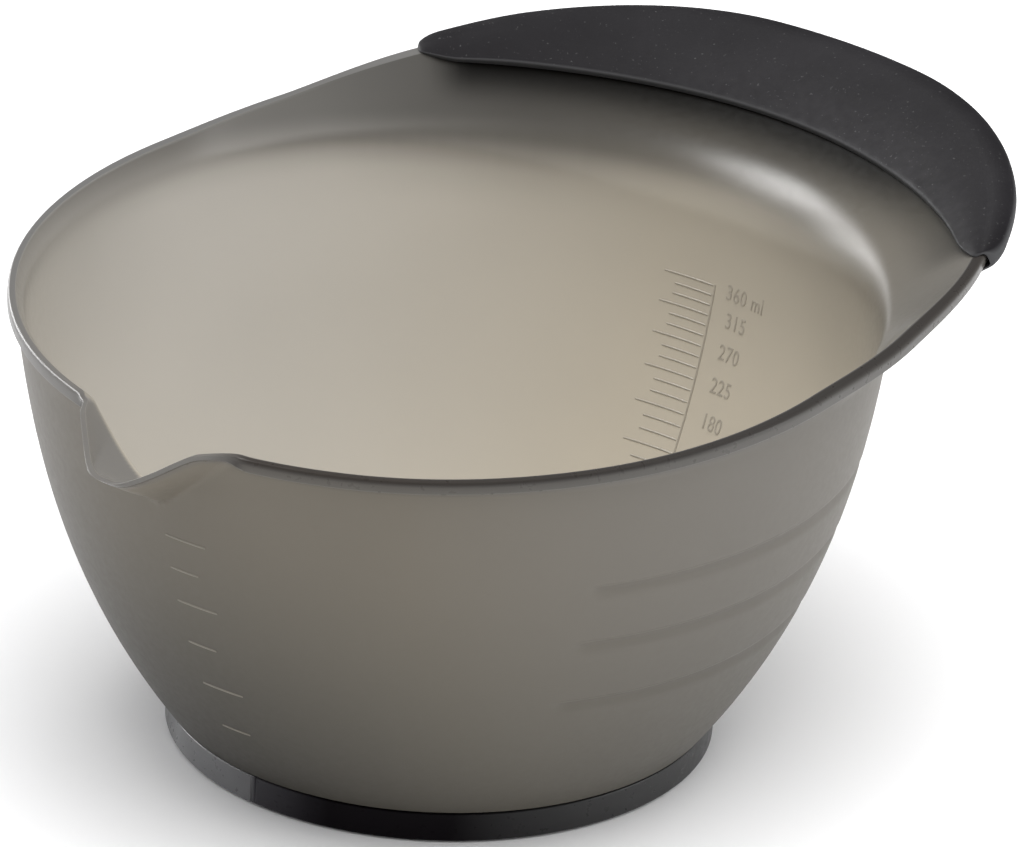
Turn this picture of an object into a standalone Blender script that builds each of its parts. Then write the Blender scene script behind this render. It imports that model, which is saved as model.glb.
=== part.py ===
"""Mixing bowl with a pour spout, a flared wing handle with a rubber grip, and an anti-slip foot ring.

Frame: +Z up, table at Z = 0, spout towards -Y, wing handle towards +Y, mirror plane X = 0.
The origin is the middle of the footprint; the bowl's turning axis stands AXIS_Y in front of it.
"""
import math

import bmesh
import bpy
from mathutils import Vector

MM = 0.001

# ---- driving dimensions (millimetres, turned into metres by MM) ----
AXIS_Y = -8.63           # the turning axis, measured from the middle of the footprint
FOOT_R = 39.0            # outer radius at the foot
SHELF_Z = 4.55           # underside of the shelf that the foot ring sits against
WALL_T = 1.2             # moulded wall
WALL_SLOPE = 0.755       # outward slope of the wall where it leaves the foot
WALL_BEND = 0.00872      # how fast the slope falls off with height
WALL_EASE = 0.0000381    # and how that fall-off eases towards the top
RIM_Z = 64.9             # height of the rim at the front
FLOOR_Z = 1.2            # underside of the floor
SEAT_DEPTH = 1.9         # how far the foot steps in behind the ring

BEND_Z = 65.2            # where the wall turns out into the wing
BEND_TAN = 4.5           # tangent length of that turn at full width
WING_R = 84.6            # reach of the wing's upper edge at the back
WING_FROM = 94.0         # the wing starts to grow at this angle from the spout (degrees)
WING_FULL = 171.0        # and has its full reach at this one
SIDE_RISE = 3.1          # the rim climbs by this much from the front to the sides
WING_RISE = 6.7          # further rise of the rim over the wing
SIDE_TURN = 1.5          # outward turn of the rim along the sides, ahead of the wing
BEAD_T = 2.1             # thickness of the bead round the rim
BEAD_H = 1.5             # depth of that bead below the edge

SPOUT_Z = 53.2           # height at which the spout channel leaves the wall
SPOUT_HALF = 15.0        # half width of the spout at the rim
SPOUT_REACH = 9.8        # how far the lip stands out from the wall
SPOUT_DIP = 5.0          # how far the lip dips below the rim
SPOUT_DIP_HALF = 10.5    # half width of that dip
SPOUT_SLOPE = 1.42       # run of the channel's floor per unit of height
LIP_T = 1.0              # thickness of the pouring lip

GRIP_GAP = 0.3           # clearance between rubber and moulding
GRIP_T = 1.1             # rubber thickness
GRIP_NOSE = 1.0          # extra room between the wing's edge and the fold of the grip
GRIP_IN_R = 71.2         # radius of the grip's inner edge
GRIP_FROM = 134.0        # the grip's tips, in degrees from the spout

RING_H = 4.25            # foot ring height
RING_LIP_R = 33.5        # inner radius of the ring's lip under the floor
RING_LIP_T = 0.9         # thickness of that lip

STEPS = 72               # facets round the bowl
CROWD = 0.42             # how strongly the facets crowd towards the spout


def smooth(a, b, t):
    """0 below a, 1 above b, and an eased ramp between them."""
    t = min(max((t - a) / (b - a), 0.0), 1.0)
    return t * t * (3.0 - 2.0 * t)


def wall_outer(z):
    """Outer radius of the wall at height z."""
    s = z - 4.25
    return FOOT_R + WALL_SLOPE * s - WALL_BEND * s ** 2 + WALL_EASE * s ** 3


def wall_slope(z):
    s = z - 4.25
    return WALL_SLOPE - 2.0 * WALL_BEND * s + 3.0 * WALL_EASE * s ** 2


def wall_inner_point(z):
    """Point of the inner surface that faces the outer wall point at height z."""
    d = wall_slope(z)
    n = math.hypot(1.0, d)
    return (wall_outer(z) - WALL_T / n, z + WALL_T * d / n)


def rim_point(deg):
    """Upper edge of the rim or wing, at an angle from the spout."""
    a = abs(deg)
    r0 = wall_outer(RIM_Z) - WALL_T
    r = r0 + SIDE_TURN * smooth(70.0, 100.0, a)
    r += (WING_R - r0 - SIDE_TURN) * smooth(WING_FROM, WING_FULL, a)
    z = RIM_Z + SIDE_RISE * (1.0 - math.cos(math.radians(a))) + WING_RISE * smooth(105.0, 172.0, a)
    return (r, z)


def upper_path(deg):
    """Polyline down the inner surface, from the rim's edge over the turn to the wall at Z = 50."""
    r, z = rim_point(deg)
    share = smooth(80.0, 115.0, abs(deg))
    turn_z = (z - 1.0) * (1.0 - share) + BEND_Z * share
    corner = Vector((wall_outer(turn_z) - WALL_T, turn_z))
    edge = Vector((r, z))
    low = Vector(wall_inner_point(BEND_Z - 9.0))
    leg = edge - corner
    tan = min(BEND_TAN, 0.45 * leg.length)
    p_up = corner + leg.normalized() * tan
    p_dn = corner + (low - corner).normalized() * tan
    path = [edge, p_up]
    for i in range(1, 8):
        t = i / 8.0
        path.append(p_up * (1 - t) ** 2 + corner * 2 * t * (1 - t) + p_dn * t * t)
    path.append(p_dn)
    path.append(low)
    path.append(Vector(wall_inner_point(50.0)))
    return path


def along(path, s):
    """Point at distance s along a polyline."""
    for a, b in zip(path, path[1:]):
        d = (b - a).length
        if s <= d or b is path[-1]:
            return a + (b - a) * (s / d)
        s -= d
    return path[-1]


UPPER_ROWS = (0.0, 0.13, 0.26, 0.38, 0.48, 0.54, 0.60, 0.66, 0.73, 0.85, 1.0)
WALL_ROWS = (44.0, 37.5, 31.0, 24.5, 18.0, 11.5)


def inner_rows(deg):
    """Rows of the inner surface at one angle, from the rim's edge down to the floor's centre."""
    path = upper_path(deg)
    total = sum((b - a).length for a, b in zip(path, path[1:]))
    start = BEAD_H + 0.3
    rows = [along(path, 0.0), along(path, BEAD_H)]
    for f in UPPER_ROWS:
        rows.append(along(path, start + (total - start) * f))
    rows = [(p[0], p[1]) for p in rows]
    for z in WALL_ROWS:
        rows.append(wall_inner_point(z))
    seat = FOOT_R - SEAT_DEPTH - WALL_T
    top = SHELF_Z + WALL_T
    rows.append((38.3, top))
    rows.append((seat, top))
    rows.append((seat, FLOOR_Z + WALL_T + 0.8))
    rows.append((seat - 0.8, FLOOR_Z + WALL_T))
    rows.append((18.0, FLOOR_Z + WALL_T))
    rows.append((0.0, FLOOR_Z + WALL_T))
    return rows


def spout_zone(x, y):
    """1 over the pouring lip and 0 where the rim's bead has its full section."""
    if y > 0.0:
        return 0.0
    return 1.0 - smooth(SPOUT_HALF - 6.0, SPOUT_HALF, abs(x))


def spout_shift(x, y, z):
    """Pull a point of the inner surface out into the pour spout: how far forward, how far down."""
    if y > 0.0 or z <= SPOUT_Z:
        return (0.0, 0.0)
    side = min(abs(x) / SPOUT_DIP_HALF, 1.0)
    dip = SPOUT_DIP * (1.0 - side ** 2) ** 1.4 * smooth(SPOUT_Z, RIM_Z, z)
    h = z - dip - SPOUT_Z
    if h <= 0.0:
        return (0.0, dip)
    half = SPOUT_HALF * min(h / (RIM_Z - SPOUT_Z), 1.0) ** 0.8
    u = min(abs(x) / half, 1.0)
    depth = min(SPOUT_SLOPE * h, SPOUT_REACH)
    return (depth * (1.0 - u ** 2.9) ** 2.1, dip)


def material(name, colour, roughness, metallic=0.0):
    m = bpy.data.materials.new(name)
    m.use_nodes = True
    shader = m.node_tree.nodes["Principled BSDF"]
    shader.inputs["Base Color"].default_value = (*colour, 1.0)
    shader.inputs["Roughness"].default_value = roughness
    shader.inputs["Metallic"].default_value = metallic
    return m


def new_object(name, mesh, collection, parent, mat=None):
    obj = bpy.data.objects.new(name, mesh)
    collection.objects.link(obj)
    obj.parent = parent
    if mat is not None:
        mesh.materials.clear()
        mesh.materials.append(mat)
    return obj


def profile_mesh(name, points, closed=False):
    """Chain of edges in the XZ plane, for a Screw modifier."""
    mesh = bpy.data.meshes.new(name)
    bm = bmesh.new()
    verts = [bm.verts.new((r * MM, 0.0, z * MM)) for r, z in points]
    for a, b in zip(verts, verts[1:]):
        bm.edges.new((a, b))
    if closed:
        bm.edges.new((verts[-1], verts[0]))
    bm.to_mesh(mesh)
    bm.free()
    return mesh


def add_screw(obj, steps):
    mod = obj.modifiers.new("turn", "SCREW")
    mod.axis = "Z"
    mod.angle = math.tau
    mod.steps = steps
    mod.render_steps = steps
    mod.use_merge_vertices = True
    mod.merge_threshold = 0.00001
    mod.use_smooth_shade = True
    return mod


def evaluated_copy(obj, name):
    """Fixed mesh of an object as its modifiers leave it."""
    bpy.context.view_layer.update()
    deps = bpy.context.evaluated_depsgraph_get()
    mesh = bpy.data.meshes.new_from_object(obj.evaluated_get(deps), depsgraph=deps)
    mesh.name = name
    return mesh


def crowd(angle):
    """Crowd the facets towards the spout, where the shape is tightest."""
    return angle - CROWD * math.sin(angle)


def make_bowl(collection, parent, mat):
    """One moulding: the inner surface is turned, then the wing and the spout are pulled out of it,
    and Solidify gives it the wall, with a thicker bead along the rim."""
    base = inner_rows(0.0)
    lathe = new_object("lathe", profile_mesh("lathe", base), collection, parent)
    add_screw(lathe, STEPS)
    mesh = evaluated_copy(lathe, "bowl")
    mesh.name = "bowl"
    bpy.data.objects.remove(lathe, do_unlink=True)
    bowl = new_object("bowl", mesh, collection, parent, mat)
    group = bowl.vertex_groups.new(name="thickness")
    for v in mesh.vertices:
        r = math.hypot(v.co.x, v.co.y) / MM
        z = v.co.z / MM
        row = min(range(len(base)), key=lambda i: (base[i][0] - r) ** 2 + (base[i][1] - z) ** 2)
        angle = crowd(math.atan2(v.co.x, -v.co.y))
        rr, zz = inner_rows(math.degrees(angle))[row]
        x = rr * math.sin(angle)
        y = -rr * math.cos(angle)
        forward, down = spout_shift(x, y, zz)
        v.co = Vector((x, y - forward, zz - down)) * MM
        plain = WALL_T / BEAD_T
        weight = plain
        if row < 2:
            weight = 1.0 - (1.0 - LIP_T / BEAD_T) * spout_zone(x, y)
        group.add([v.index], weight, "REPLACE")
    shell = bowl.modifiers.new("wall", "SOLIDIFY")
    shell.thickness = BEAD_T * MM
    shell.offset = 1.0
    shell.use_even_offset = True
    shell.use_rim = True
    shell.vertex_group = group.name
    mesh.shade_smooth()
    mesh.set_sharp_from_angle(angle=math.radians(40.0))
    return bowl


def make_foot_ring(collection, parent, mat):
    """Anti-slip ring: a band round the foot with a lip that turns in under the floor."""
    gap = 0.3
    back = FOOT_R - SEAT_DEPTH + gap
    pts = [
        (back, RING_H),
        (FOOT_R - 0.35, RING_H),
        (FOOT_R, RING_H - 0.35),
        (FOOT_R, 0.5),
        (FOOT_R - 0.5, 0.0),
        (RING_LIP_R + 0.3, 0.0),
        (RING_LIP_R, 0.3),
        (RING_LIP_R, RING_LIP_T),
        (back - 0.9, RING_LIP_T),
        (back, RING_LIP_T + 0.9),
    ]
    mesh = profile_mesh("foot_ring", pts, closed=True)
    ring = new_object("foot_ring", mesh, collection, parent, mat)
    add_screw(ring, STEPS)
    return ring


def grip_stations():
    """Angles at which the grip's section is taken, tip to tip over the back."""
    half = [GRIP_FROM, GRIP_FROM + 0.6, GRIP_FROM + 1.6, GRIP_FROM + 3.2, GRIP_FROM + 5.5]
    n = 8
    for i in range(1, n + 1):
        half.append(GRIP_FROM + 5.5 + (180.0 - GRIP_FROM - 5.5) * i / n)
    return half + [360.0 - a for a in reversed(half[:-1])]


def grip_share(deg):
    """Share of the full rubber thickness: it thins out towards the two tips."""
    a = min(deg, 360.0 - deg)
    return 0.62 + 0.38 * smooth(0.0, 12.0, a - GRIP_FROM)


def grip_section(deg):
    """Outline of the sheet of rubber in (radius, height): over the wing, round its edge and back under."""
    a = min(deg, 360.0 - deg)
    path = upper_path(a)
    edge = path[0]
    leg = (path[0] - path[1]).normalized()
    up = Vector((-leg[1], leg[0]))
    run = (edge[0] - GRIP_IN_R) / leg[0]
    t = min(max((a - GRIP_FROM) / 6.0, 0.0), 1.0)
    width = 2.4 + (run - 2.4) * math.sqrt(1.0 - (1.0 - t) ** 2)
    lift = GRIP_GAP + GRIP_T * grip_share(deg)
    reach = GRIP_GAP + GRIP_T + GRIP_NOSE
    top = edge + up * lift
    low = edge - up * (BEAD_T + lift)
    near = width * 0.12
    pts = [top - leg * width * f for f in (1.0, 0.66, 0.36, 0.12)]
    mid = (top + low) / 2.0
    half = (top - low).length / 2.0
    for k in range(1, 6):
        w = math.pi * k / 6.0
        out = leg * ((reach + near) * math.sin(w) ** 0.8 - near)
        pts.append(mid + out + up * half * math.cos(w))
    pts += [low - leg * width * f for f in (0.12, 0.36, 0.6, 0.86)]
    return pts


def make_handle_grip(collection, parent, mat):
    """Crescent grip: a sheet lofted through its sections, folded over the wing's edge, then Solidify."""
    mesh = bpy.data.meshes.new("handle_grip")
    bm = bmesh.new()
    rings = []
    for deg in grip_stations():
        angle = math.radians(deg)
        ring = []
        for p in grip_section(deg):
            co = Vector((p[0] * math.sin(angle), -p[0] * math.cos(angle), p[1])) * MM
            ring.append(bm.verts.new(co))
        rings.append(ring)
    for ra, rb in zip(rings, rings[1:]):
        for i in range(len(ra) - 1):
            bm.faces.new((ra[i], ra[i + 1], rb[i + 1], rb[i]))
    bm.verts.index_update()
    shares = {}
    for deg, ring in zip(grip_stations(), rings):
        for v in ring:
            shares[v.index] = grip_share(deg)
    bm.to_mesh(mesh)
    bm.free()
    grip = new_object("handle_grip", mesh, collection, parent, mat)
    group = grip.vertex_groups.new(name="thickness")
    for index, share in shares.items():
        group.add([index], share, "REPLACE")
    shell = grip.modifiers.new("rubber", "SOLIDIFY")
    shell.vertex_group = group.name
    shell.thickness = GRIP_T * MM
    shell.offset = -1.0
    shell.use_even_offset = True
    shell.use_rim = True
    mesh.shade_smooth()
    mesh.set_sharp_from_angle(angle=math.radians(40.0))
    return grip


def build():
    for obj in list(bpy.data.objects):
        bpy.data.objects.remove(obj, do_unlink=True)
    parts = bpy.data.collections.new("mixing_bowl")
    bpy.context.scene.collection.children.link(parts)

    axis = bpy.data.objects.new("turning_axis", None)
    axis.location = (0.0, AXIS_Y * MM, 0.0)
    parts.objects.link(axis)

    plastic = material("smoke_plastic", (0.40, 0.37, 0.33), 0.35)
    soft = material("soft_grip_rubber", (0.045, 0.043, 0.045), 0.62)
    rubber = material("foot_rubber", (0.02, 0.02, 0.022), 0.38)

    make_bowl(parts, axis, plastic)
    make_handle_grip(parts, axis, soft)
    make_foot_ring(parts, axis, rubber)


build()
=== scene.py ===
import math

import bmesh
import bpy
from mathutils import Euler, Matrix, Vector


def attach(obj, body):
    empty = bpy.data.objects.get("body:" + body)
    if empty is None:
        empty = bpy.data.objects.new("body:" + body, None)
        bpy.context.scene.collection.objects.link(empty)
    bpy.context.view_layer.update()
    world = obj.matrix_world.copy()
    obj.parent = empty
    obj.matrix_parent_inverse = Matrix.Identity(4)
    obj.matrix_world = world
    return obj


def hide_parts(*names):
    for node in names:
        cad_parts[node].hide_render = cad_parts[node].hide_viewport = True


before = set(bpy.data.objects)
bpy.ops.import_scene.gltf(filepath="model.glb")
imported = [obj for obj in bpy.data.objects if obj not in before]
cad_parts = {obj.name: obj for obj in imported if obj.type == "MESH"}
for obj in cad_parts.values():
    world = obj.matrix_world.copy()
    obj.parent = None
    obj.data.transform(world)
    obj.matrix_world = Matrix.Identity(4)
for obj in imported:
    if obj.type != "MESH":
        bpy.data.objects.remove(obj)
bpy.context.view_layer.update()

# ---------------------------------------------------------------- driving sizes, in millimetres
MM = 0.001
AXIS_Y = -8.63          # the bowl's turning axis
BOWL_HALF = 0.062       # half width of the bowl, in metres
FOOT_R = 39.0           # outer radius at the foot ring
SHELF_Z = 4.55          # underside of the wall's foot, on the ring
SEAT_R = 37.1           # radius of the seat that the ring sits on
FLOOR_LOW = 1.2         # underside of the floor
FLOOR_TOP = 2.4         # inside face of the floor
FLOOR_R = 35.9          # inside radius of the sunk floor
STEP_Z = 5.75           # height of the small step round the floor
STEP_R = 38.75          # radius where the step meets the wall
WALL_FROM = 6.9         # height where the plain inner wall begins
WALL_ROWS = 44
WALL_T = 1.2            # wall thickness
WALL_Z0 = 4.25          # height that the wall's outer profile is measured from
WALL_RISE = (0.755, 0.00872, 0.0000381)   # its widening, rounding and straightening terms
RIM_Z = 64.9            # height of the wall's top at the spout
WING_R = 84.6           # radius of the wing's edge under the grip, at the back
BEND_BACK = 9.0         # length of inner wall below the bend that belongs to the bend's curve
BEAD_H = 1.9            # height of the bead's outer face
BEAD_W = 1.9            # width of its underside
GRIP_FROM = 134.0       # the grip's tip, degrees from the spout
GRIP_GAP = 0.12         # between the grip and the wing
GRIP_T = 1.25           # thickness of the rubber
GRIP_IN_R = 71.2        # radius of the grip's inner edge
GRIP_WRAP = 1.75        # height of the edge that the grip wraps
GRIP_TOP_STEPS = 26     # points over its top, round its outer edge and along its underside
GRIP_EDGE_STEPS = 18
GRIP_LOW_STEPS = 19
RING_H = 4.25
RING_IN_R = 35.3        # inner edge of the ring's tread
RING_LIP_R = 33.5       # inner edge of the lip that reaches under the floor
RING_LIP_Z = 0.95       # top of that lip
RING_STEPS = 300
SEAM_D = 0.32           # depth of the seam across the ring
SEAM_W = 0.16           # its half width, in degrees
SEAM_SLANT = 1.4        # how far it leans over the ring's height, in degrees
SPOUT_Z = 53.2          # height where the spout starts to leave the wall
LIP_R = 62.0            # radius that sideways places along the lip are measured at
SPOUT_HALF = 15.0       # half width of the spout at the rim
SPOUT_REACH = 9.8       # how far its lip stands out
SPOUT_DIP = 5.0         # how far the lip dips below the rim
SPOUT_DIP_HALF = 10.5   # half width of that dip
SPOUT_SLOPE = 1.42      # how fast the spout leaves the wall
GROOVES = ((46.5, 61.3), (37.1, 60.2), (26.4, 58.6))   # each finger groove's height and angle
GROOVE_W = 1.2          # half width
GROOVE_D = 0.52         # depth
GROOVE_LEAD = 0.2       # how far its end fades out before the start angle
# Rows of points across a groove, in half widths from its middle.
GROOVE_ROWS = (1.6, 1.25, 1.0, 0.75, 0.5, 0.25, 0.0, -0.25, -0.5, -0.75, -1.0, -1.25, -1.6)
PLAIN_ROWS = (7, 6, 8, 20)   # rows above, between and below the grooves
OUTSIDE_LOW = 5.6       # lowest row of the outer wall
SINK = 0.06             # how deep the moulded marks root in the wall
ML_TOP = 360            # the volume scale: its top, its steps and its long steps
ML_STEP = 15
ML_LONG = 45
MARK_ANGLE = 50         # edges sharper than this stay crisp on the marks
TICK_HEIGHTS = (48.3, 43.0, 37.5, 30.4, 23.0, 15.0)   # of the marks outside, below the spout

# Outer radius and height of the rim's top edge, by angle from the spout.
RIM = (
    (0.0, 62.2, 64.95),
    (30.0, 62.2, 65.35),
    (60.0, 62.2, 66.5),
    (95.0, 62.6, 68.35),
    (115.0, 66.0, 69.8),
    (135.0, 74.4, 73.05),
    (155.0, 82.6, 76.6),
    (180.0, 84.8, 77.8),
)

# Painted shade of the inside, standing for how much light the translucent wall gathers, by angle:
# on the flange, at the bend, and 3, 6 and 12 mm below the bend.
SHADE = (
    (-180.0, 0.13, 0.27, 0.62, 0.78, 0.88),
    (-165.0, 0.11, 0.22, 0.55, 0.78, 0.90),
    (-150.0, 0.10, 0.19, 0.46, 0.76, 0.94),
    (-135.0, 0.13, 0.22, 0.58, 0.86, 1.00),
    (-118.0, 0.22, 0.36, 0.80, 1.00, 1.05),
    (-100.0, 0.33, 0.57, 0.90, 1.01, 1.02),
    (-75.0, 0.38, 0.58, 0.78, 0.85, 0.90),
    (-45.0, 0.38, 0.50, 0.72, 0.80, 0.85),
    (0.0, 0.38, 0.55, 0.80, 0.88, 0.92),
    (60.0, 0.30, 0.45, 0.78, 0.90, 0.97),
    (100.0, 0.27, 0.36, 0.58, 0.72, 0.88),
    (130.0, 0.27, 0.30, 0.48, 0.58, 0.75),
    (150.0, 0.25, 0.27, 0.42, 0.60, 0.72),
    (165.0, 0.18, 0.25, 0.50, 0.66, 0.82),
    (180.0, 0.13, 0.27, 0.62, 0.78, 0.88),
)


def smooth(a, b, t):
    """0 below a, 1 above b, and a soft step between."""
    t = min(max((t - a) / (b - a), 0.0), 1.0)
    return t * t * (3.0 - 2.0 * t)


def eased(keys, column, t):
    """Smooth curve through the keys, level at both ends."""
    xs = [k[0] for k in keys]
    ys = [k[column] for k in keys]
    d = [(ys[i + 1] - ys[i]) / (xs[i + 1] - xs[i]) for i in range(len(xs) - 1)]
    m = [0.0] + [0.0 if d[i] * d[i + 1] <= 0 else 2 * d[i] * d[i + 1] / (d[i] + d[i + 1])
                 for i in range(len(d) - 1)] + [0.0]
    i = max(k for k in range(len(d)) if xs[k] <= t or k == 0)
    h = xs[i + 1] - xs[i]
    u = (t - xs[i]) / h
    return ((2 * u ** 3 - 3 * u ** 2 + 1) * ys[i] + (u ** 3 - 2 * u ** 2 + u) * h * m[i]
            + (3 * u ** 2 - 2 * u ** 3) * ys[i + 1] + (u ** 3 - u ** 2) * h * m[i + 1])


# ---------------------------------------------------------------- shape of the moulding
def wall_outer(z):
    """Outer radius of the round wall."""
    s = z - WALL_Z0
    widen, curve, ease = WALL_RISE
    return FOOT_R + widen * s - curve * s ** 2 + ease * s ** 3


def wall_slope(z):
    s = z - WALL_Z0
    widen, curve, ease = WALL_RISE
    return widen - 2 * curve * s + 3 * ease * s ** 2


def wall_inner(z):
    """Point of the inner face square across the wall from the outer face at height z."""
    d = wall_slope(z)
    n = math.hypot(1.0, d)
    return Vector((wall_outer(z) - WALL_T / n, z + WALL_T * d / n))


def frame_edge(a):
    """Upper edge of the wing's flange under the grip, as in the CAD."""
    side_flare = 1.5
    tilt_rise = 3.1
    wing_rise = 6.7
    r0 = wall_outer(RIM_Z) - WALL_T
    r = (r0 + side_flare * smooth(70.0, 100.0, a)
         + (WING_R - r0 - side_flare) * smooth(94.0, 171.0, a))
    z = RIM_Z + tilt_rise * (1.0 - math.cos(math.radians(a))) + wing_rise * smooth(105.0, 172.0, a)
    return Vector((r, z))


def bend_z(a):
    """Height where the wall turns out into the flange."""
    return 64.0 + 1.2 * smooth(60.0, 125.0, a)


def bend_corner_at(z):
    """Where the inner wall and the flange would meet without the curve between them."""
    return Vector((wall_outer(z) - WALL_T, z))


def bend_corner(a):
    return bend_corner_at(bend_z(a))


def rounded(points, reach, counts):
    """Polyline with each inner corner turned into a curve of a fixed number of points."""
    out = [points[0]]
    for i in range(1, len(points) - 1):
        p = points[i]
        d1 = points[i - 1] - p
        d2 = points[i + 1] - p
        t1 = min(reach[i], 0.48 * d1.length)
        t2 = min(reach[i], 0.48 * d2.length)
        p1 = p + (d1.normalized() * t1 if d1.length > 1e-9 else d1)
        p2 = p + (d2.normalized() * t2 if d2.length > 1e-9 else d2)
        n = counts[i]
        for k in range(n):
            t = k / (n - 1)
            w1 = 0.5 * t * (1 - t)
            mid = p * (2 * t * (1 - t)) + p1 * (1 - t) ** 2 + p2 * t * t
            out.append(mid + (p - (p1 + p2) / 2) * w1 * 0.35)
    out.append(points[-1])
    return out


def bend_path(low_z, corner_z, end, turn):
    """Inside of the wall from low_z up, round the bend and straight out to the rim."""
    z1 = corner_z - turn
    p1 = wall_inner(z1)
    t = Vector((wall_slope(z1), 1.0)).normalized()
    c0 = bend_corner_at(corner_z)
    c = c0 + (p1 + t * (c0[1] - p1[1]) / t[1] - c0) * 0.5
    p2 = c + (end - c).normalized() * min(turn, 0.6 * (end - c).length)
    below = 12
    along = 24
    out = [wall_inner(low_z + (z1 - low_z) * k / below) for k in range(below)]
    h1 = p1 + (c.lerp((p1 + p2) / 2, 0.42) - p1) * 0.7
    h2 = p2 + (c - p2) * 0.62
    for k in range(along + 1):
        u = k / along
        v = 1 - u
        out.append(p1 * v ** 3 + h1 * (3 * u * v * v) + h2 * (3 * u * u * v) + p2 * u ** 3)
    return out + [end]


def resampled(path, n):
    """n points evenly along a polyline."""
    d = [0.0]
    for a, b in zip(path, path[1:]):
        d.append(d[-1] + (b - a).length)
    out = []
    j = 0
    for k in range(n):
        s = d[-1] * (k / (n - 1))
        while j < len(path) - 2 and d[j + 1] < s:
            j += 1
        f = (s - d[j]) / max(d[j + 1] - d[j], 1e-12)
        out.append(path[j] + (path[j + 1] - path[j]) * min(max(f, 0.0), 1.0))
    return out


def lip_share(deg):
    """1 on the pouring lip, 0 where the bead has its full section; the two sides differ."""
    x = LIP_R * math.sin(math.radians(deg))
    if abs(deg) > 60.0:
        return 0.0
    if x < 0.0:
        return 1.0 - smooth(12.0, 13.6, -x)
    return 1.0 - smooth(10.0, 17.0, x)


def rim_corners(a, lip, cad, leg):
    """Inner top edge, outer top edge and lower outer edge of the bead."""
    ro = eased(RIM, 1, a)
    zo = eased(RIM, 2, a)
    under = smooth(134.6, 136.5, a)
    up = Vector((-leg[1], leg[0]))
    width = 1.15 + 0.75 * smooth(60.0, 100.0, a)
    inner_top = Vector((ro - width, zo - 0.05 - 0.6 * smooth(118.0, 134.5, a)))
    outer_top = Vector((ro, zo))
    lower = Vector((ro, zo - BEAD_H))
    # under the grip the edge follows the flange, without a bead
    inner_top = inner_top.lerp(cad - leg * 1.6, under)
    outer_top = outer_top.lerp(cad + leg * 0.1, under)
    lower = lower.lerp(cad + leg * 0.1 - up * 1.6, under)
    # on the lip the rim is a thin plain edge
    plain = wall_outer(zo)
    inner_top = inner_top.lerp(Vector((plain - 1.15, zo)), lip)
    outer_top = outer_top.lerp(Vector((plain - 0.05, zo)), lip)
    lower = lower.lerp(Vector((plain - 0.02, zo - 0.8)), lip)
    return inner_top, outer_top, lower, ro - BEAD_W - 0.3 * under


def flange_outside(inside, limit, lower):
    """Outside of the flange: the inside path set off by the wall's thickness, up to the bead."""
    fine = resampled(inside, 60)
    off = []
    for i, p in enumerate(fine):
        q = fine[min(i + 1, len(fine) - 1)] - fine[max(i - 1, 0)]
        q.normalize()
        off.append(p + Vector((q[1], -q[0])) * WALL_T)
    stop = len(off) - 1
    for i, p in enumerate(off):
        if p[0] >= limit and p[1] >= lower[1]:
            stop = i
            break
    if stop > 0:
        p, q = off[stop - 1], off[stop]
        f = 1.0
        if q[0] > limit and p[0] < limit and q[1] > lower[1]:
            f = min(f, (limit - p[0]) / (q[0] - p[0]))
            if (p + (q - p) * f)[1] < lower[1]:
                f = (lower[1] - p[1]) / (q[1] - p[1])
        elif q[1] > p[1]:
            f = min(f, max((lower[1] - p[1]) / (q[1] - p[1]), 0.0))
        off = off[:stop] + [p + (q - p) * f]
    return off


def inside_tones(inner, deg, corner, leg, light):
    """Tone and painted shade of the inside, by the distance along the section from the bend."""
    a = abs(deg)
    keys = ((-30.0, 1.0), (-12.0, light[4]), (-6.0, light[3]), (-3.0, light[2]), (0.0, light[1]),
            (4.0, light[0]), (40.0, light[0]))
    runs = [0.0]
    for p, q in zip(inner, inner[1:]):
        runs.append(runs[-1] + (q - p).length)
    at = min(range(len(inner)), key=lambda k: (inner[k] - corner).length)
    middle = runs[at] + (corner - inner[at]).dot(leg + Vector((0.0, 1.0))) * 0.5
    # painted shadow of the grip, darkest at its inner edge
    grip_shadow = 0.90
    tones = []
    for p, run in zip(inner, runs):
        shade = eased(keys, 1, min(max(run - middle, -29.9), 39.0))
        if a > GRIP_FROM:
            near = 1.0 - smooth(0.0, 7.5, GRIP_IN_R - 0.5 - p[0])
            side = 1.0 if deg < 0.0 else 0.6 + 0.4 * smooth(145.0, 168.0, deg)
            shade *= 1.0 - grip_shadow * near * side * smooth(GRIP_FROM, GRIP_FROM + 6.0, a)
        tones.append((1.0, shade))
    return tones


def bead_tones(count, deg, lip, light):
    """Tone and shade of the bead's points, counted from its inner edge: darker along the front,
    partly the thick plastic's own colour and partly painted shade, and lighter on the left, a
    painted highlight.
    """
    dark = smooth(-17.0, -5.0, deg)
    tones = []
    for k in range(count):
        inner_side = 1 - smooth(0, 5, k)
        # painted highlight: the bead is painted lighter on the left than along the front, its
        # outer part lighter still further round
        tone = 0.52 + 0.18 * (1.0 - dark) + 0.18 * dark * lip
        tone += 0.24 * (1.0 - dark) * (1.0 - smooth(-75.0, -55.0, -abs(deg))) * smooth(7, 14, k)
        face = smooth(14.0 - 6.0 * smooth(50.0, 105.0, deg), 20.0, k)
        tone += (0.98 - tone) * inner_side - 0.1 * dark * (1.0 - lip) * face
        tones.append((tone, 1.0 - (1.0 - light[0]) * inner_side))
    return tones


def outside_tones(points, deg):
    """Tone and shade of the outside, from the bead down: painted shade, darker just under the
    bead, lower down the wall, and most towards the foot at the front.
    """
    front = smooth(-75.0, -50.0, deg) * (1.0 - smooth(-5.0, 62.0, deg))
    tones = []
    for k, p in enumerate(points):
        # painted shade: darker just under the bead and lower down the wall
        under_bead = 0.24 + 0.16 * (1 - smooth(0, 5, k))
        tone = under_bead if k < 6 else 0.25 * smooth(4.0, 60.0, p[1])
        # painted shade at the front, deepening towards the foot
        dim = 0.14 * (1.0 - smooth(58.0, 64.0, p[1])) + 0.44 * (1.0 - smooth(0.0, 62.0, p[1]))
        tones.append((tone, 1.0 - front * dim))
    return tones


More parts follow.
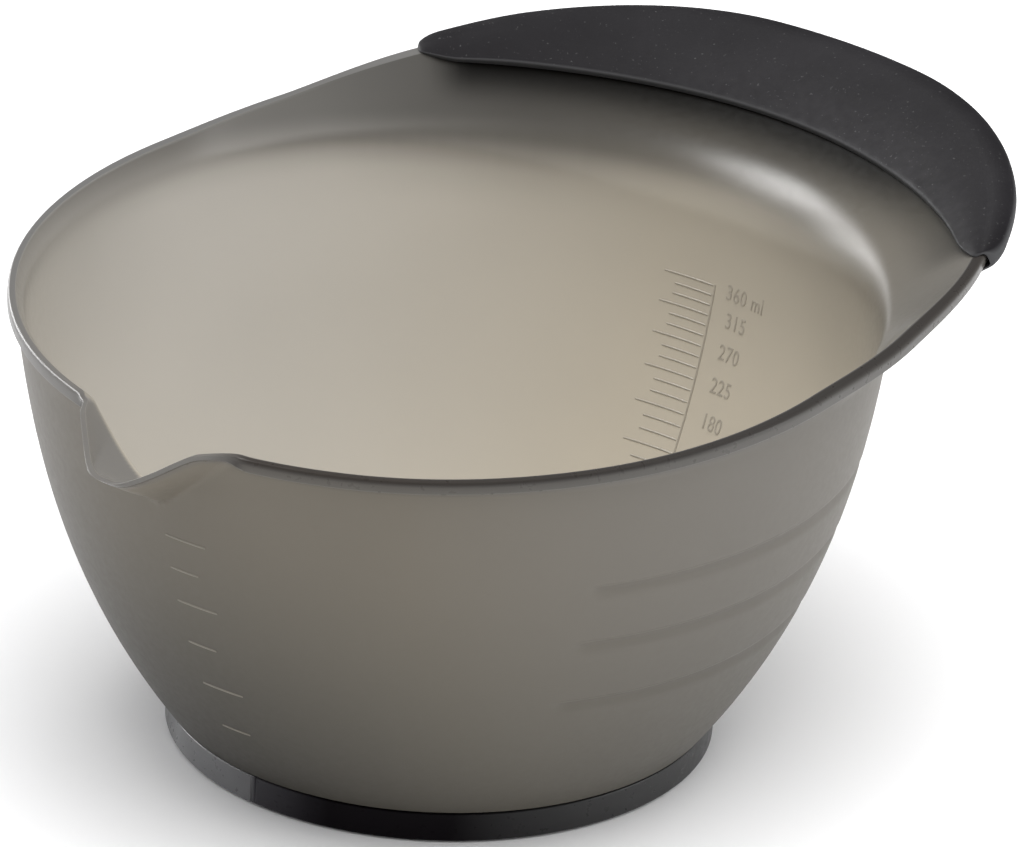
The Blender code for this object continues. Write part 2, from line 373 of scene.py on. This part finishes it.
def section(deg):
    """Closed outline of the moulding at one angle: inside from the floor's centre up, over the rim
    and down the outside, with a tone and a shade for each of its points."""
    a = abs(deg)
    lip = lip_share(deg)
    corner = bend_corner(a)
    cad = frame_edge(a)
    leg = (cad - corner).normalized()
    inner_top, outer_top, lower, limit = rim_corners(a, lip, cad, leg)

    turn = 0.6 + 5.6 * smooth(118.0, 176.0, a)
    low_z = bend_z(a) - BEND_BACK
    inside = bend_path(low_z, bend_z(a), inner_top, turn)
    wall = [wall_inner(WALL_FROM + (low_z - WALL_FROM) * k / WALL_ROWS) for k in range(WALL_ROWS)]
    floor = rounded(
        [Vector((0.0, FLOOR_TOP)), Vector((FLOOR_R, FLOOR_TOP)), Vector((FLOOR_R, STEP_Z)),
         Vector((STEP_R, STEP_Z)), wall[0]],
        [0, 1.2, 0.7, 0.5, 0], [0, 7, 6, 5, 0])
    disc = [Vector((r, FLOOR_TOP)) for r in (0.0, 3.0, 9.0, 16.0, 23.0, 29.0)]
    inner = disc + floor[1:-1] + wall + resampled(inside, 40)

    off = flange_outside(inside, limit, lower)
    end = off[-1]
    back = Vector((min(max(limit, end[0]), lower[0] - 0.02), min(lower[1], end[1])))
    soft = 0.95 - 0.72 * lip
    rim = rounded(
        [inner[-1], inner_top, outer_top, lower, back, end],
        [0, 0.3 - 0.05 * lip, soft, 0.22, 0.35, 0], [0, 6, 12, 6, 5, 0])
    flange = resampled(off[::-1], 34)
    outer = [Vector((wall_outer(z), z)) for z in wall_levels(flange[-1][1])]
    foot = rounded(
        [Vector((wall_outer(4.95), 4.95)), Vector((FOOT_R + 0.22, SHELF_Z)),
         Vector((SEAT_R, SHELF_Z)), Vector((SEAT_R, FLOOR_LOW)), Vector((20.0, FLOOR_LOW))],
        [0, 0.2, 0.25, 0.8, 0], [0, 4, 4, 6, 0])
    bottom = [Vector((r, FLOOR_LOW)) for r in (28.0, 18.0, 8.0, 0.0)]

    inner = inner[:-1]
    rim = rim[1:-1]
    below = flange + outer + foot[:-1] + bottom
    light = [eased(SHADE, k, deg) for k in range(1, 6)]
    tones = (inside_tones(inner, deg, corner, leg, light) + bead_tones(len(rim), deg, lip, light)
             + outside_tones(below, deg))
    return [(p[0], p[1]) for p in inner + rim + below], tones


def wall_levels(top):
    """Heights of the outer wall's rows, close together where the finger grooves run."""
    bands = [[h + GROOVE_W * f for f in GROOVE_ROWS] for h, _ in GROOVES]
    out = []
    hi = top
    for band, n in zip(bands + [[OUTSIDE_LOW]], PLAIN_ROWS):
        lo = band[0]
        out += [hi + (lo - hi) * k / (n + 1) for k in range(1, n + 1)]
        if len(band) > 1:
            out += band
        hi = band[-1]
    return out


def groove_depth(deg, z):
    """How far a point of the outer wall lies in: the grooves run round the back and end on both
    sides, each with a steep upper flank and a long lower one."""
    depth = 0.0
    for h, start in GROOVES:
        run = (abs(deg) - start) * math.radians(1.0) * wall_outer(h)
        if run < -GROOVE_LEAD:
            continue
        round_end = min(max(0.0, 1.0 - (run + GROOVE_LEAD) / 1.3), 0.98)
        across = (z - h) / (GROOVE_W * math.sqrt(1.0 - round_end ** 2))
        flank = 1.0 - smooth(0.40, 0.95, across) if across > 0.4 else smooth(-1.35, 0.4, across)
        depth = max(depth, GROOVE_D * flank * smooth(-GROOVE_LEAD, 1.0, run))
    return depth


def spout_shift(x, y, z):
    """How far forward and how far down the pouring spout pulls a point."""
    if y > 0.0 or z <= SPOUT_Z:
        return (0.0, 0.0)
    side = min(abs(x) / SPOUT_DIP_HALF, 1.0)
    dip = SPOUT_DIP * (1.0 - side ** 2) ** 1.4 * smooth(SPOUT_Z, RIM_Z, z)
    h = z - dip - SPOUT_Z
    if h <= 0.0:
        return (0.0, dip)
    half = SPOUT_HALF * min(h / (RIM_Z - SPOUT_Z), 1.0) ** 0.8
    u = min(abs(x) / half, 1.0)
    depth = min(SPOUT_SLOPE * h, SPOUT_REACH)
    return (depth * (1.0 - u ** 2.9) ** 2.1, dip)


def turned_to(deg, r, z):
    """A point at an angle, radius and height, in the row frame and in metres."""
    w = math.radians(deg)
    return Vector((r * math.sin(w) * MM, (-r * math.cos(w) + AXIS_Y) * MM, z * MM))


def place(deg, r, z):
    """A point of the moulding in the row frame, in metres, and how far the spout pulls it out."""
    w = math.radians(deg)
    x = r * math.sin(w)
    y = -r * math.cos(w)
    forward, down = spout_shift(x, y, z)
    return Vector((x * MM, (y - forward + AXIS_Y) * MM, (z - down) * MM)), forward


def add_mesh(name, verts, faces, smooth_angle=None):
    mesh = bpy.data.meshes.new(name)
    mesh.from_pydata(verts, [], faces)
    bm = bmesh.new()
    bm.from_mesh(mesh)
    bmesh.ops.recalc_face_normals(bm, faces=bm.faces)
    bm.to_mesh(mesh)
    bm.free()
    mesh.shade_smooth()
    if smooth_angle:
        mesh.set_sharp_from_angle(angle=math.radians(smooth_angle))
    obj = bpy.data.objects.new(name, mesh)
    bpy.context.scene.collection.objects.link(obj)
    return obj


def skin_of_poles(name, rings):
    """Skin of a solid whose sections all run from one point on the axis to another."""
    n = len(rings)
    k = len(rings[0]) - 2
    verts = [rings[0][0], rings[0][-1]]
    for ring in rings:
        verts += ring[1:-1]

    def at(i, j):
        return 2 + (i % n) * k + j

    faces = []
    for i in range(n):
        faces.append((0, at(i, 0), at(i + 1, 0)))
        faces.append((1, at(i + 1, k - 1), at(i, k - 1)))
        for j in range(k - 1):
            faces.append((at(i, j), at(i, j + 1), at(i + 1, j + 1), at(i + 1, j)))
    return add_mesh(name, verts, faces)


def skin_of_loops(name, rings, closed_round):
    """Skin through closed outlines of equal length, as a full ring or as a bar with two ends."""
    n = len(rings)
    m = len(rings[0])
    verts = [p for ring in rings for p in ring]
    faces = []
    for i in range(n if closed_round else n - 1):
        for j in range(m):
            a, b = i * m + j, i * m + (j + 1) % m
            c, d = ((i + 1) % n) * m + (j + 1) % m, ((i + 1) % n) * m + j
            faces.append((a, b, c, d))
    if not closed_round:
        faces.append(tuple(range(m)))
        faces.append(tuple(range((n - 1) * m, n * m))[::-1])
    return add_mesh(name, verts, faces)


def bowl_angles():
    """Angles of the bowl's sections, close together round the spout."""
    half = [0.0]
    while half[-1] < 179.99:
        a = half[-1]
        step = 0.45 if a < 17.0 else (0.75 if a < 26.0 else 1.2)
        half.append(min(a + step, 180.0))
    return [-a for a in reversed(half[1:-1])] + half


def make_bowl():
    rings = []
    shades = []
    for deg in bowl_angles():
        pts, tones = section(deg)
        ring = []
        for j, (r, z) in enumerate(pts):
            outside = j > len(pts) * 0.5
            if outside and 5.5 < z < 60.0:
                r -= groove_depth(deg, z)
            spot, pulled = place(deg, r, z)
            ring.append(spot)
            tone, shade = tones[j]
            # painted shade: the spout's trough is painted greyer than the rest of the inside
            if not outside and tone > 0.97:
                trough = smooth(0.05, 1.2, pulled)
                tones[j] = (1.0 - 0.20 * trough, shade + (0.95 - shade) * trough)
        rings.append(ring)
        shades.append(tones)
    obj = skin_of_poles("bowl_shell", rings)
    for k, name in enumerate(("tone", "shade")):
        values = [shades[0][0][k], shades[0][-1][k]]
        for tones in shades:
            values += [t[k] for t in tones[1:-1]]
        layer = obj.data.attributes.new(name, "FLOAT", "POINT")
        layer.data.foreach_set("value", values)
    return obj


# ---------------------------------------------------------------- materials
def principled(name, colour, roughness):
    m = bpy.data.materials.new(name)
    m.use_nodes = True
    nt = m.node_tree
    s = nt.nodes["Principled BSDF"]
    s.inputs["Base Color"].default_value = (*colour, 1.0)
    s.inputs["Roughness"].default_value = roughness
    return m, nt, s


def noise(nt, at, scale, detail=2.0, rough=0.5):
    n = nt.nodes.new("ShaderNodeTexNoise")
    n.inputs["Scale"].default_value = scale
    n.inputs["Detail"].default_value = detail
    n.inputs["Roughness"].default_value = rough
    nt.links.new(at, n.inputs["Vector"])
    return n.outputs["Fac"]


def ramp(nt, value, stops):
    """Colour by value; a stop is (position, colour), or (position, number) for a grey."""
    r = nt.nodes.new("ShaderNodeValToRGB")
    e = r.color_ramp.elements
    while len(e) < len(stops):
        e.new(0.5)
    for el, (pos, col) in zip(e, stops):
        el.position = pos
        el.color = (*col, 1.0) if isinstance(col, tuple) else (col, col, col, 1.0)
    nt.links.new(value, r.inputs["Fac"])
    return r.outputs["Color"]


def span(nt, value, lo, hi, to_lo, to_hi):
    r = nt.nodes.new("ShaderNodeMapRange")
    r.inputs["From Min"].default_value = lo
    r.inputs["From Max"].default_value = hi
    r.inputs["To Min"].default_value = to_lo
    r.inputs["To Max"].default_value = to_hi
    nt.links.new(value, r.inputs["Value"])
    return r.outputs["Result"]


def bump(nt, s, height, strength, distance):
    b = nt.nodes.new("ShaderNodeBump")
    b.inputs["Strength"].default_value = strength
    b.inputs["Distance"].default_value = distance
    nt.links.new(height, b.inputs["Height"])
    nt.links.new(b.outputs["Normal"], s.inputs["Normal"])


def mix_colour(nt, fac, a, b, kind="MIX"):
    """Mix of two colours; the factor and each colour are a value or another node's output."""
    m = nt.nodes.new("ShaderNodeMix")
    m.data_type = "RGBA"
    m.blend_type = kind
    for sock, v in ((m.inputs[0], fac), (m.inputs[6], a), (m.inputs[7], b)):
        if isinstance(v, (int, float)):
            sock.default_value = v
        elif isinstance(v, tuple):
            sock.default_value = (*v, 1.0)
        else:
            nt.links.new(v, sock)
    return m.outputs[2]


def coords(nt):
    return nt.nodes.new("ShaderNodeTexCoord").outputs["Object"]


def sideways(nt, at, half):
    """0 at the object's -X side, 1 at its +X side."""
    split = nt.nodes.new("ShaderNodeSeparateXYZ")
    nt.links.new(at, split.inputs["Vector"])
    return span(nt, split.outputs["X"], -half, half, 0.0, 1.0)


def attribute(nt, name):
    node = nt.nodes.new("ShaderNodeAttribute")
    node.attribute_name = name
    return node.outputs["Fac"]


# Smoky translucent plastic with painted light and shade: the inside is painted light for the light
# that gathers in the bowl; thick places look darker, and the bead's top is also painted shade.
PLASTIC_TONES = [
    (0.00, (0.095, 0.087, 0.071)),   # outside, low, painted shade
    (0.25, (0.150, 0.133, 0.106)),   # outside, high
    (0.42, (0.110, 0.102, 0.089)),   # bead, outer face
    (0.52, (0.034, 0.029, 0.025)),   # bead, top: thick plastic and painted shade
    (0.68, (0.125, 0.119, 0.110)),   # bead, painted lit side
    (0.80, (0.165, 0.157, 0.145)),   # pouring spout, painted shade
    (1.00, (0.480, 0.437, 0.360)),   # inside, painted light
]


def plastic_material():
    m, nt, s = principled("smoke_plastic_fine", (0.30, 0.275, 0.235), 0.34)
    at = coords(nt)
    tone = attribute(nt, "tone")
    zones = ramp(nt, tone, PLASTIC_TONES)
    cloud = ramp(nt, noise(nt, at, 26.0, 2.0), [(0.3, 0.95), (0.7, 1.0)])
    shade = attribute(nt, "shade")
    grey = nt.nodes.new("ShaderNodeCombineColor")
    for k in range(3):
        nt.links.new(shade, grey.inputs[k])
    # painted reflection: the two sides are painted greyer than the middle, a veil of gloss
    painted_side_veil = ramp(nt, sideways(nt, at, BOWL_HALF),
                [(0.0, 0.60), (0.20, 0.28), (0.42, 0.0), (0.78, 0.0), (1.0, 0.4)])
    plain = nt.nodes.new("ShaderNodeRGBToBW")
    nt.links.new(zones, plain.inputs["Color"])
    zones = mix_colour(nt, painted_side_veil, zones, plain.outputs["Val"])
    lit = mix_colour(nt, 1.0, zones, grey.outputs["Color"], "MULTIPLY")
    nt.links.new(mix_colour(nt, 1.0, lit, cloud, "MULTIPLY"), s.inputs["Base Color"])
    satin = ramp(nt, tone, [(0.25, 0.46), (0.38, 0.26), (0.60, 0.27), (1.0, 0.31)])
    rough = nt.nodes.new("ShaderNodeMath")
    rough.operation = "ADD"
    nt.links.new(satin, rough.inputs[0])
    nt.links.new(span(nt, noise(nt, at, 900.0, 3.0), 0.3, 0.7, 0.0, 0.06), rough.inputs[1])
    nt.links.new(rough.outputs[0], s.inputs["Roughness"])
    bump(nt, s, noise(nt, at, 2600.0, 2.0), 0.03, 0.00003)
    s.inputs["IOR"].default_value = 1.49
    s.inputs["Specular IOR Level"].default_value = 0.25
    return m


def mark_material(name, roughness, dark, light):
    """Moulded marks: the wall's plastic in a slightly different tone."""
    m, nt, s = principled(name, dark, roughness)
    fine = noise(nt, coords(nt), 1500.0, 2.0)
    nt.links.new(ramp(nt, fine, [(0.3, dark), (0.7, light)]), s.inputs["Base Color"])
    return m


def grip_material():
    m, nt, s = principled("soft_grip_fine", (0.045, 0.043, 0.045), 0.6)
    at = coords(nt)
    base = ramp(nt, noise(nt, at, 60.0, 3.0),
                [(0.3, (0.010, 0.0092, 0.0105)), (0.7, (0.015, 0.014, 0.0158))])
    dust = ramp(nt, noise(nt, at, 2100.0, 1.0), [(0.70, 0.0), (0.80, 1.0)])
    col = mix_colour(nt, dust, base, (0.06, 0.06, 0.06))
    # painted sheen: its steep edges are painted lighter than its top
    facing = nt.nodes.new("ShaderNodeNewGeometry")
    tilt = nt.nodes.new("ShaderNodeSeparateXYZ")
    nt.links.new(facing.outputs["Normal"], tilt.inputs["Vector"])
    edge = span(nt, tilt.outputs["Z"], 0.72, 0.35, 0.0, 1.0)
    col = mix_colour(nt, edge, col, (0.060, 0.060, 0.062))
    nt.links.new(col, s.inputs["Base Color"])
    nt.links.new(span(nt, noise(nt, at, 700.0, 3.0), 0.3, 0.7, 0.60, 0.74), s.inputs["Roughness"])
    bump(nt, s, noise(nt, at, 3200.0, 3.0, 0.6), 0.18, 0.00006)
    s.inputs["Specular IOR Level"].default_value = 0.12
    return m


def ring_material():
    """Black rubber, with a painted reflection: a lighter and shinier stretch that ends at the
    seam.
    """
    m, nt, s = principled("foot_rubber_fine", (0.018, 0.017, 0.02), 0.3)
    at = coords(nt)
    along = sideways(nt, at, FOOT_R * MM)
    # painted reflection: lighter over the -X side up to the seam, fading away beyond it
    base = ramp(nt, along, [
        (0.0, (0.008, 0.008, 0.009)), (0.16, (0.030, 0.030, 0.032)),
        (0.26, (0.175, 0.175, 0.180)), (0.40, (0.130, 0.130, 0.134)),
        (0.492, (0.105, 0.105, 0.108)), (0.503, (0.034, 0.032, 0.037)),
        (0.66, (0.004, 0.003, 0.004)), (0.85, (0.004, 0.003, 0.004)),
        (1.0, (0.022, 0.022, 0.022))])
    cloud = ramp(nt, noise(nt, at, 120.0, 3.0), [(0.3, 0.85), (0.7, 1.0)])
    nt.links.new(mix_colour(nt, 1.0, base, cloud, "MULTIPLY"), s.inputs["Base Color"])
    shine = ramp(nt, along, [(0.0, 0.20), (0.26, 0.55), (0.492, 0.50), (0.503, 0.22),
                             (0.62, 0.04), (0.85, 0.05), (1.0, 0.45)])
    nt.links.new(shine, s.inputs["Specular IOR Level"])
    nt.links.new(span(nt, noise(nt, at, 800.0, 2.0), 0.3, 0.7, 0.26, 0.36), s.inputs["Roughness"])
    bump(nt, s, noise(nt, at, 1800.0, 2.0), 0.012, 0.00004)
    return m


plastic = plastic_material()
mark = mark_material("smoke_plastic_mark", 0.36, (0.305, 0.278, 0.230), (0.345, 0.313, 0.260))
tick = mark_material("smoke_plastic_tick", 0.45, (0.145, 0.130, 0.102), (0.165, 0.149, 0.118))
soft = grip_material()
rubber = ring_material()


def finish_piece(obj, material, slot, *nodes):
    obj.data.materials.clear()
    obj.data.materials.append(material)
    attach(obj, "root")
    if nodes:
        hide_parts(*nodes)


finish_piece(make_bowl(), plastic, "smoke_plastic", "bowl")


# ---------------------------------------------------------------- the grip
def grip_outline(deg):
    """Closed outline of the rubber at one angle: the outer skin, then back along the inner one."""
    a = min(deg, 360.0 - deg)
    edge = frame_edge(a)
    turn_corner = bend_corner(a)
    leg = (edge - turn_corner).normalized()
    up = Vector((-leg[1], leg[0]))
    run = (edge[0] - GRIP_IN_R) / leg[0]
    t = min(max((a - GRIP_FROM) / 5.0, 0.0), 1.0)
    t_nose = min(max((a - GRIP_FROM) / 2.6, 0.0), 1.0)
    nose = math.sqrt(max(1.0 - (1.0 - t_nose) ** 2, 0.0))
    width = 1.0 + (run - 1.0) * math.sqrt(max(1.0 - (1.0 - t) ** 2, 0.0))
    share = (0.12 + 0.50 * nose) + 0.38 * smooth(0.0, 12.0, a - GRIP_FROM)
    thick = GRIP_T * share
    lift = GRIP_GAP + thick
    reach = GRIP_GAP + thick + 0.25 + 0.9 * nose
    top = edge + up * lift
    low = edge - up * (GRIP_WRAP + lift)
    near = min(width * 0.12, 1.6)
    outer = []
    for k in range(GRIP_TOP_STEPS):
        f = 1.0 - k / GRIP_TOP_STEPS * (1.0 - near / width)
        crown = 0.35 * share * math.sin(math.pi * min(max((1.0 - f) / 0.9, 0.0), 1.0)) ** 1.2
        outer.append(top - leg * width * f + up * crown)
    mid = (top + low) / 2.0
    half = (top - low).length / 2.0
    for k in range(GRIP_EDGE_STEPS + 1):
        w = math.pi * k / GRIP_EDGE_STEPS
        out = leg * ((reach + near) * math.sin(w) ** 0.86 - near)
        outer.append(mid + out + up * half * math.cos(w))
    for k in range(1, GRIP_LOW_STEPS + 1):
        f = near / width + (0.86 - near / width) * k / GRIP_LOW_STEPS
        outer.append(low - leg * width * f)
    inner = []
    n = len(outer)
    for i, p in enumerate(outer):
        q = outer[min(i + 1, n - 1)] - outer[max(i - 1, 0)]
        q.normalize()
        inner.append(p + Vector((q[1], -q[0])) * thick)
    # rounded free edges
    start = rounded([outer[5], outer[0], inner[0], inner[1]],
                    [0, 1.0 * share, 0.2 * share, 0], [0, 9, 5, 0])
    stop = rounded([outer[-2], outer[-1], inner[-1], inner[-2]],
                   [0, 0.42 * share, 0.3 * share, 0], [0, 6, 5, 0])
    return outer[5:-1] + stop[1:-1] + inner[1:-1][::-1] + start[1:-1][::-1]


def make_grip():
    degs = []
    d = GRIP_FROM
    while d < 180.0:
        degs.append(d)
        t = d - GRIP_FROM
        d += 0.12 if t < 0.6 else (0.3 if t < 3.0 else (0.5 if t < 8 else 0.9))
    degs = degs + [180.0] + [360.0 - v for v in reversed(degs)]
    rings = [[turned_to(deg, p[0], p[1]) for p in grip_outline(deg)] for deg in degs]
    return skin_of_loops("grip_skin", rings, closed_round=False)


finish_piece(make_grip(), soft, "soft_grip_rubber", "handle_grip")


# ---------------------------------------------------------------- the foot ring
def make_ring():
    seat = SEAT_R + 0.15
    pts = rounded(
        [Vector((RING_IN_R, 0.0)), Vector((FOOT_R, 0.0)), Vector((FOOT_R, RING_H)),
         Vector((seat, RING_H)), Vector((seat, RING_LIP_Z)), Vector((RING_LIP_R, RING_LIP_Z)),
         Vector((RING_LIP_R, 0.0)), Vector((RING_IN_R, 0.0))],
        [0, 0.45, 0.3, 0.15, 0.5, 0.2, 0.2, 0], [0, 7, 6, 4, 5, 4, 4, 0])[:-1]
    even = [360.0 * i / RING_STEPS for i in range(RING_STEPS)]
    by_seam = [d / 100 for d in range(-114, 115, 6)]
    degs = sorted(set([d for d in even if 1.0 < d < 359.0] + [d % 360.0 for d in by_seam]))
    rings = []
    for deg in degs:
        off = deg if deg < 180.0 else deg - 360.0
        ring = []
        for r, z in pts:
            if r > 37.8:
                lean = SEAM_SLANT * (z / RING_H - 0.5)
                r -= SEAM_D * math.exp(-((off - lean) / SEAM_W) ** 2)
            ring.append(turned_to(deg, r, z))
        rings.append(ring)
    return skin_of_loops("foot_band", rings, closed_round=True)


finish_piece(make_ring(), rubber, "foot_rubber", "foot_ring")


# ---------------------------------------------------------------- moulded marks
def volume_at(z):
    """Millilitres in the bowl when it is filled to height z."""
    ml = math.pi * FLOOR_R ** 2 * (min(z, STEP_Z) - FLOOR_TOP) / 1000.0
    steps = 60
    for k in range(steps):
        h = STEP_Z + (z - STEP_Z) * (k + 0.5) / steps
        r = wall_outer(h) - WALL_T * math.hypot(1.0, wall_slope(h))
        ml += math.pi * r ** 2 * (z - STEP_Z) / steps / 1000.0
    return ml


def level_of(ml):
    """Height to which a volume fills the bowl."""
    lo, hi = 6.0, 64.0
    for _ in range(40):
        mid = (lo + hi) / 2
        lo, hi = (mid, hi) if volume_at(mid) < ml else (lo, mid)
    return lo


def on_inside(x, z):
    """Point of the inner wall at the back and its normal, at sideways place x and height z."""
    d = wall_slope(z)
    n = math.hypot(1.0, d)
    r = wall_outer(z) - WALL_T * n
    w = math.pi - x / r
    p = Vector((r * math.sin(w), -r * math.cos(w) + AXIS_Y, z))
    normal = Vector((-math.sin(w) / n, math.cos(w) / n, d / n))
    return p, normal


def on_outside(x, z):
    """Point of the outer wall below the spout and its normal."""
    d = wall_slope(z)
    n = math.hypot(1.0, d)
    r = wall_outer(z)
    w = x / r
    p = Vector((r * math.sin(w), -r * math.cos(w) + AXIS_Y, z))
    normal = Vector((math.sin(w) / n, -math.cos(w) / n, -d / n))
    return p, normal


def rib(verts, faces, where, start, end, width, height):
    """Low rounded bar on a surface between two (x, z) places."""
    n = max(2, int(math.dist(start, end) / 1.2) + 1)
    across = Vector((-(end[1] - start[1]), end[0] - start[0])).normalized()
    shape = [(-0.5, -1), (-0.46, 0.45), (-0.28, 0.9), (0.0, 1.0), (0.28, 0.9), (0.46, 0.45),
             (0.5, -1)]
    first = len(verts)
    stations = [k / n for k in range(n + 1)]
    for f in stations:
        shrink = 0.8 if f in (0.0, 1.0) else 1.0
        cx = start[0] + (end[0] - start[0]) * f
        cz = start[1] + (end[1] - start[1]) * f
        for u, h in shape:
            p, normal = where(cx + across[0] * u * width * shrink,
                              cz + across[1] * u * width * shrink)
            lift = height * h * shrink if h > 0 else -SINK
            verts.append((p + normal * lift) * MM)
    m = len(shape)
    for i in range(len(stations) - 1):
        for j in range(m):
            a, b = first + i * m + j, first + i * m + (j + 1) % m
            faces.append((a, b, b + m, a + m))
    faces.append(tuple(first + j for j in range(m))[::-1])
    top = first + (len(stations) - 1) * m
    faces.append(tuple(top + j for j in range(m)))


def make_scale():
    """Bars every 15 ml up to 360 ml, the longer ones every 45 ml, and the line beside them."""
    verts = []
    faces = []
    for ml in range(ML_LONG, ML_TOP + 1, ML_STEP):
        z = level_of(ml)
        reach = 9.0 if ml % ML_LONG == 0 else 7.0
        rib(verts, faces, on_inside, (-0.35, z), (-reach, z), 0.30, 0.09)
    rib(verts, faces, on_inside, (0.0, level_of(ML_TOP) + 0.2), (0.0, level_of(ML_LONG) - 0.2),
        0.34, 0.10)
    return add_mesh("volume_scale", verts, faces, MARK_ANGLE)


def make_front_ticks():
    verts = []
    faces = []
    for k, z in enumerate(TICK_HEIGHTS):
        reach = 7.5 if k % 2 == 0 else 5.5
        rib(verts, faces, on_outside, (0.6, z), (reach, z), 0.36, 0.09)
    return add_mesh("front_ticks", verts, faces, MARK_ANGLE)


def figure_mesh(words):
    """Flat text as a mesh, extruded a little to both sides."""
    body = bpy.data.curves.new("figures", "FONT")
    body.body = words
    body.size = 3.3
    body.extrude = 0.11
    body.offset = -0.012
    body.resolution_u = 3
    body.space_character = 1.06
    t = bpy.data.objects.new("figures", body)
    bpy.context.scene.collection.objects.link(t)
    bpy.context.view_layer.update()
    mesh = bpy.data.meshes.new_from_object(t.evaluated_get(bpy.context.evaluated_depsgraph_get()))
    bpy.data.objects.remove(t, do_unlink=True)
    return mesh


def make_numerals():
    """Volume figures beside the long bars, laid on the inner wall."""
    narrow = 0.80
    pieces = []
    for ml in range(ML_TOP, 0, -ML_LONG):
        at_top = ml == ML_TOP
        mesh = figure_mesh(f"{ml} ml" if at_top else str(ml))
        z0 = level_of(ml)
        x0 = 2.2 if at_top else 3.0
        drop = 1.2 if at_top else 0.75
        tilt = 1.0 / math.hypot(1.0, wall_slope(z0))
        bm = bmesh.new()
        bm.from_mesh(mesh)
        bmesh.ops.remove_doubles(bm, verts=bm.verts, dist=1e-5)
        for v in bm.verts:
            p, normal = on_inside(x0 + v.co.x * narrow, z0 - drop + v.co.y * tilt)
            lift = 0.08 if v.co.z > 0 else -SINK
            v.co = (p + normal * lift) * MM
        bm.to_mesh(mesh)
        bm.free()
        pieces.append(mesh)
    bm = bmesh.new()
    for mesh in pieces:
        bm.from_mesh(mesh)
    out = bpy.data.meshes.new("volume_figures")
    bm.to_mesh(out)
    bm.free()
    obj = bpy.data.objects.new("volume_figures", out)
    bpy.context.scene.collection.objects.link(obj)
    return obj


finish_piece(make_scale(), mark, "smoke_plastic")
finish_piece(make_numerals(), mark, "smoke_plastic")
finish_piece(make_front_ticks(), tick, "smoke_plastic")


# ---------------------------------------------------------------- floor, light and camera
def make_floor():
    bm = bmesh.new()
    bmesh.ops.create_circle(bm, cap_ends=True, radius=3.5, segments=96)
    mesh = bpy.data.meshes.new("studio_floor")
    bm.to_mesh(mesh)
    bm.free()
    obj = bpy.data.objects.new("studio_floor", mesh)
    bpy.context.scene.collection.objects.link(obj)
    m, nt, s = principled("studio_floor", (0.92, 0.92, 0.92), 0.85)
    s.inputs["Specular IOR Level"].default_value = 0.1
    mesh.materials.append(m)
    obj.location = (0.0, 0.0, -0.0003)


def area(name, place_at, size, size_y, power):
    """Rectangular light aimed at the middle of the bowl."""
    light = bpy.data.lights.new(name, "AREA")
    light.shape = "RECTANGLE"
    light.size = size
    light.size_y = size_y
    light.energy = power
    obj = bpy.data.objects.new(name, light)
    obj.location = place_at
    aim = Vector((0.0, 0.0, 0.045)) - Vector(place_at)
    obj.rotation_euler = aim.to_track_quat("-Z", "Y").to_euler()
    bpy.context.scene.collection.objects.link(obj)
    return obj


make_floor()
# name, place, size across and up, power; these show only as reflections
SOFTBOXES = (
    ("left_softbox", (-0.69, -0.30, 0.66), 0.50, 0.38, 16.0),
    ("back_softbox", (-0.93, -0.04, 0.36), 0.50, 0.34, 4.5),
    ("low_softbox", (-1.0, 0.10, 0.17), 0.6, 0.30, 4.0),
    ("right_softbox", (0.85, 0.45, 0.20), 0.5, 0.4, 1.5),
)
# and these light the bowl without showing in it
FILLS = (
    ("top_fill", (0.1, 0.0, 1.30), 1.5, 1.5, 23.0),
    ("side_fill", (1.0, 0.30, 0.55), 0.9, 0.7, 2.2),
)
for row in SOFTBOXES:
    area(*row).visible_diffuse = False
for row in FILLS:
    area(*row).visible_glossy = False

# a pale sky that lights the bowl, and a dimmer one for what its gloss reflects
world = bpy.data.worlds.new("studio")
world.use_nodes = True
wn = world.node_tree
sky = wn.nodes["Background"]
sky.inputs["Color"].default_value = (0.70, 0.70, 0.71, 1.0)
dim = wn.nodes.new("ShaderNodeBackground")
tc = wn.nodes.new("ShaderNodeTexCoord")
sep = wn.nodes.new("ShaderNodeSeparateXYZ")
wn.links.new(tc.outputs["Generated"], sep.inputs["Vector"])
dusk = ramp(wn, sep.outputs["Z"], [(0.0, (0.45, 0.45, 0.46)), (0.35, (0.08, 0.08, 0.083))])
wn.links.new(dusk, dim.inputs["Color"])
path = wn.nodes.new("ShaderNodeLightPath")
pick = wn.nodes.new("ShaderNodeMixShader")
wn.links.new(path.outputs["Is Glossy Ray"], pick.inputs["Fac"])
wn.links.new(sky.outputs["Background"], pick.inputs[1])
wn.links.new(dim.outputs["Background"], pick.inputs[2])
wn.links.new(pick.outputs["Shader"], wn.nodes["World Output"].inputs["Surface"])
bpy.context.scene.world = world
bpy.context.scene.view_settings.view_transform = "Standard"

cam = bpy.data.cameras.new("camera")
cam.lens = 316.406
cam.sensor_width = 36.0
cam.clip_start = 0.05
cam.clip_end = 20.0
camera = bpy.data.objects.new("camera", cam)
camera.location = (0.75226, -0.87625, 0.57179)
camera.rotation_euler = Euler([math.radians(v) for v in (65.3906, -2.0206, 41.4136)], "XYZ")
bpy.context.scene.collection.objects.link(camera)
bpy.context.scene.camera = camera
